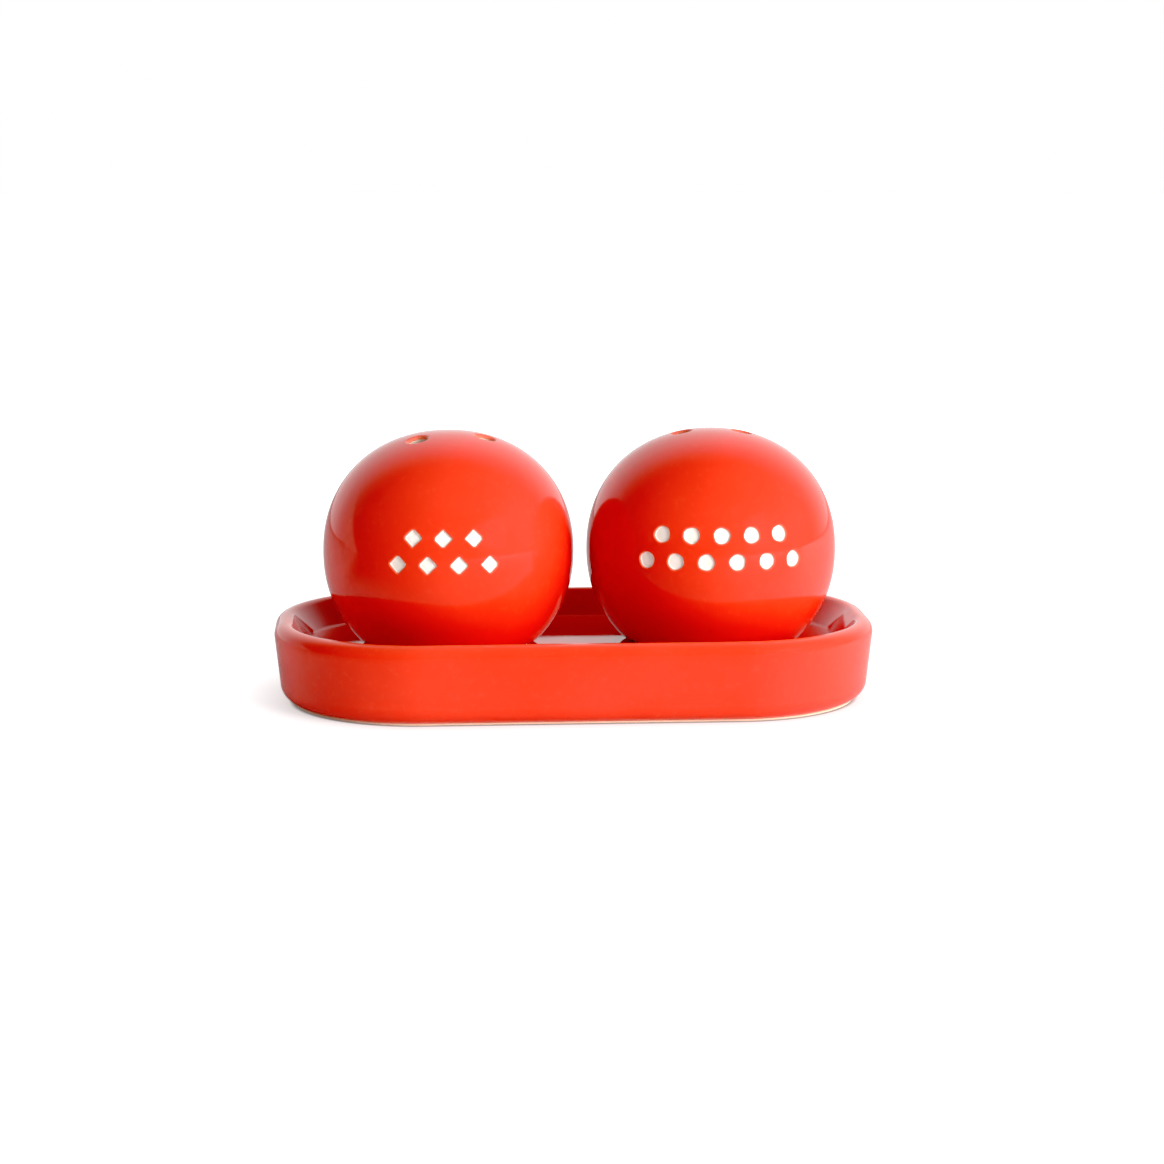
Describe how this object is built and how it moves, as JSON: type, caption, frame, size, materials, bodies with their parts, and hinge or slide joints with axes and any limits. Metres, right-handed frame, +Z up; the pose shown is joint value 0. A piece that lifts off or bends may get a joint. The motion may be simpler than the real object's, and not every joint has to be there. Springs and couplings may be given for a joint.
{
  "type": "salt and pepper shaker set",
  "caption": "Ball-shaped glazed ceramic salt and pepper shakers with base stoppers, standing in a shallow raised ceramic tray with rounded ends.",
  "frame": {"origin": "centre of the tray's foot plane, where the set rests on the table", "axes": "+Z up, +X along the tray from the salt shaker to the pepper shaker, and the marked fronts face -Y"},
  "size_m": [0.1482, 0.083, 0.0661],
  "materials": {
    "glaze": "glossy orange-red glaze over pale unglazed clay in the marks, holes and feet",
    "stopper_rubber": "matte off-white soft rubber"
  },
  "bodies": {
    "tray": {"tray": "glaze"},
    "salt_stopper": {"salt_stopper": "stopper_rubber"},
    "salt_shaker": {"salt_shaker": "glaze"},
    "pepper_stopper": {"pepper_stopper": "stopper_rubber"},
    "pepper_shaker": {"pepper_shaker": "glaze"}
  },
  "joints": [
    {"name": "salt_lift", "type": "slide", "parent": "tray", "child": "salt_stopper", "axis": [0, 0, 1], "range_m": [0, 0.1]},
    {"name": "salt_unplug", "type": "slide", "parent": "salt_stopper", "child": "salt_shaker", "axis": [0, 0, 1], "range_m": [0, 0.03]},
    {"name": "pepper_lift", "type": "slide", "parent": "tray", "child": "pepper_stopper", "axis": [0, 0, 1], "range_m": [0, 0.1]},
    {"name": "pepper_unplug", "type": "slide", "parent": "pepper_stopper", "child": "pepper_shaker", "axis": [0, 0, 1], "range_m": [0, 0.03]}
  ]
}
